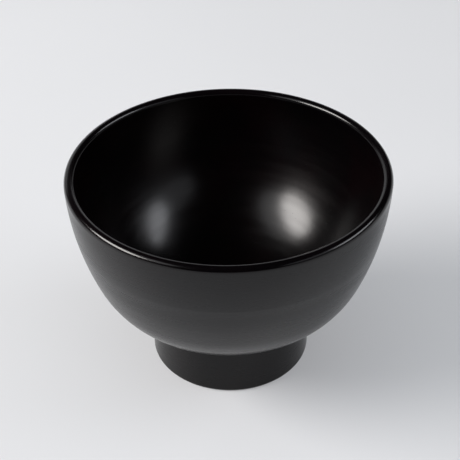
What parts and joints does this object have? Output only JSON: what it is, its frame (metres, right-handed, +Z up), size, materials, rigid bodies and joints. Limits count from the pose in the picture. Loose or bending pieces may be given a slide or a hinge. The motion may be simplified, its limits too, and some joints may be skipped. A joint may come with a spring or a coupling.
{
  "type": "lacquer soup bowl",
  "caption": "Round footed soup bowl in black lacquer: deep smooth curve from a rounded lip to a tall, slightly tapered ring foot with a hollow underneath.",
  "frame": {"origin": "middle of the circle that the foot's resting edge makes, on the table", "axes": "+Z up along the bowl's axis of turning; +X and +Y level, with the front at -Y"},
  "size_m": [0.115, 0.115, 0.08],
  "materials": {
    "turned_wood": "turned hardwood, sanded, hidden under the coats",
    "lacquer_glue": "hardened rice-flour and raw-lacquer glue, hidden in the joint",
    "hemp_cloth": "plain-woven hemp soaked in lacquer, hidden under the ground",
    "ground_coat": "matt ground of fired earth and raw lacquer, rubbed level",
    "inside_lacquer": "black lacquer, semi-gloss, smooth, softly blurred reflections",
    "outside_lacquer": "black lacquer, satin, smooth"
  },
  "bodies": {
    "root": {"bowl_core": "turned_wood", "foot_ring": "turned_wood", "foot_glue": "lacquer_glue", "rim_cloth": "hemp_cloth", "base_cloth": "hemp_cloth", "foot_cloth": "hemp_cloth", "inner_ground": "ground_coat", "outer_ground": "ground_coat", "foot_ground": "ground_coat", "inner_lacquer": "inside_lacquer", "outer_lacquer": "outside_lacquer", "foot_lacquer": "outside_lacquer", "well_lacquer": "outside_lacquer"}
  },
  "joints": []
}
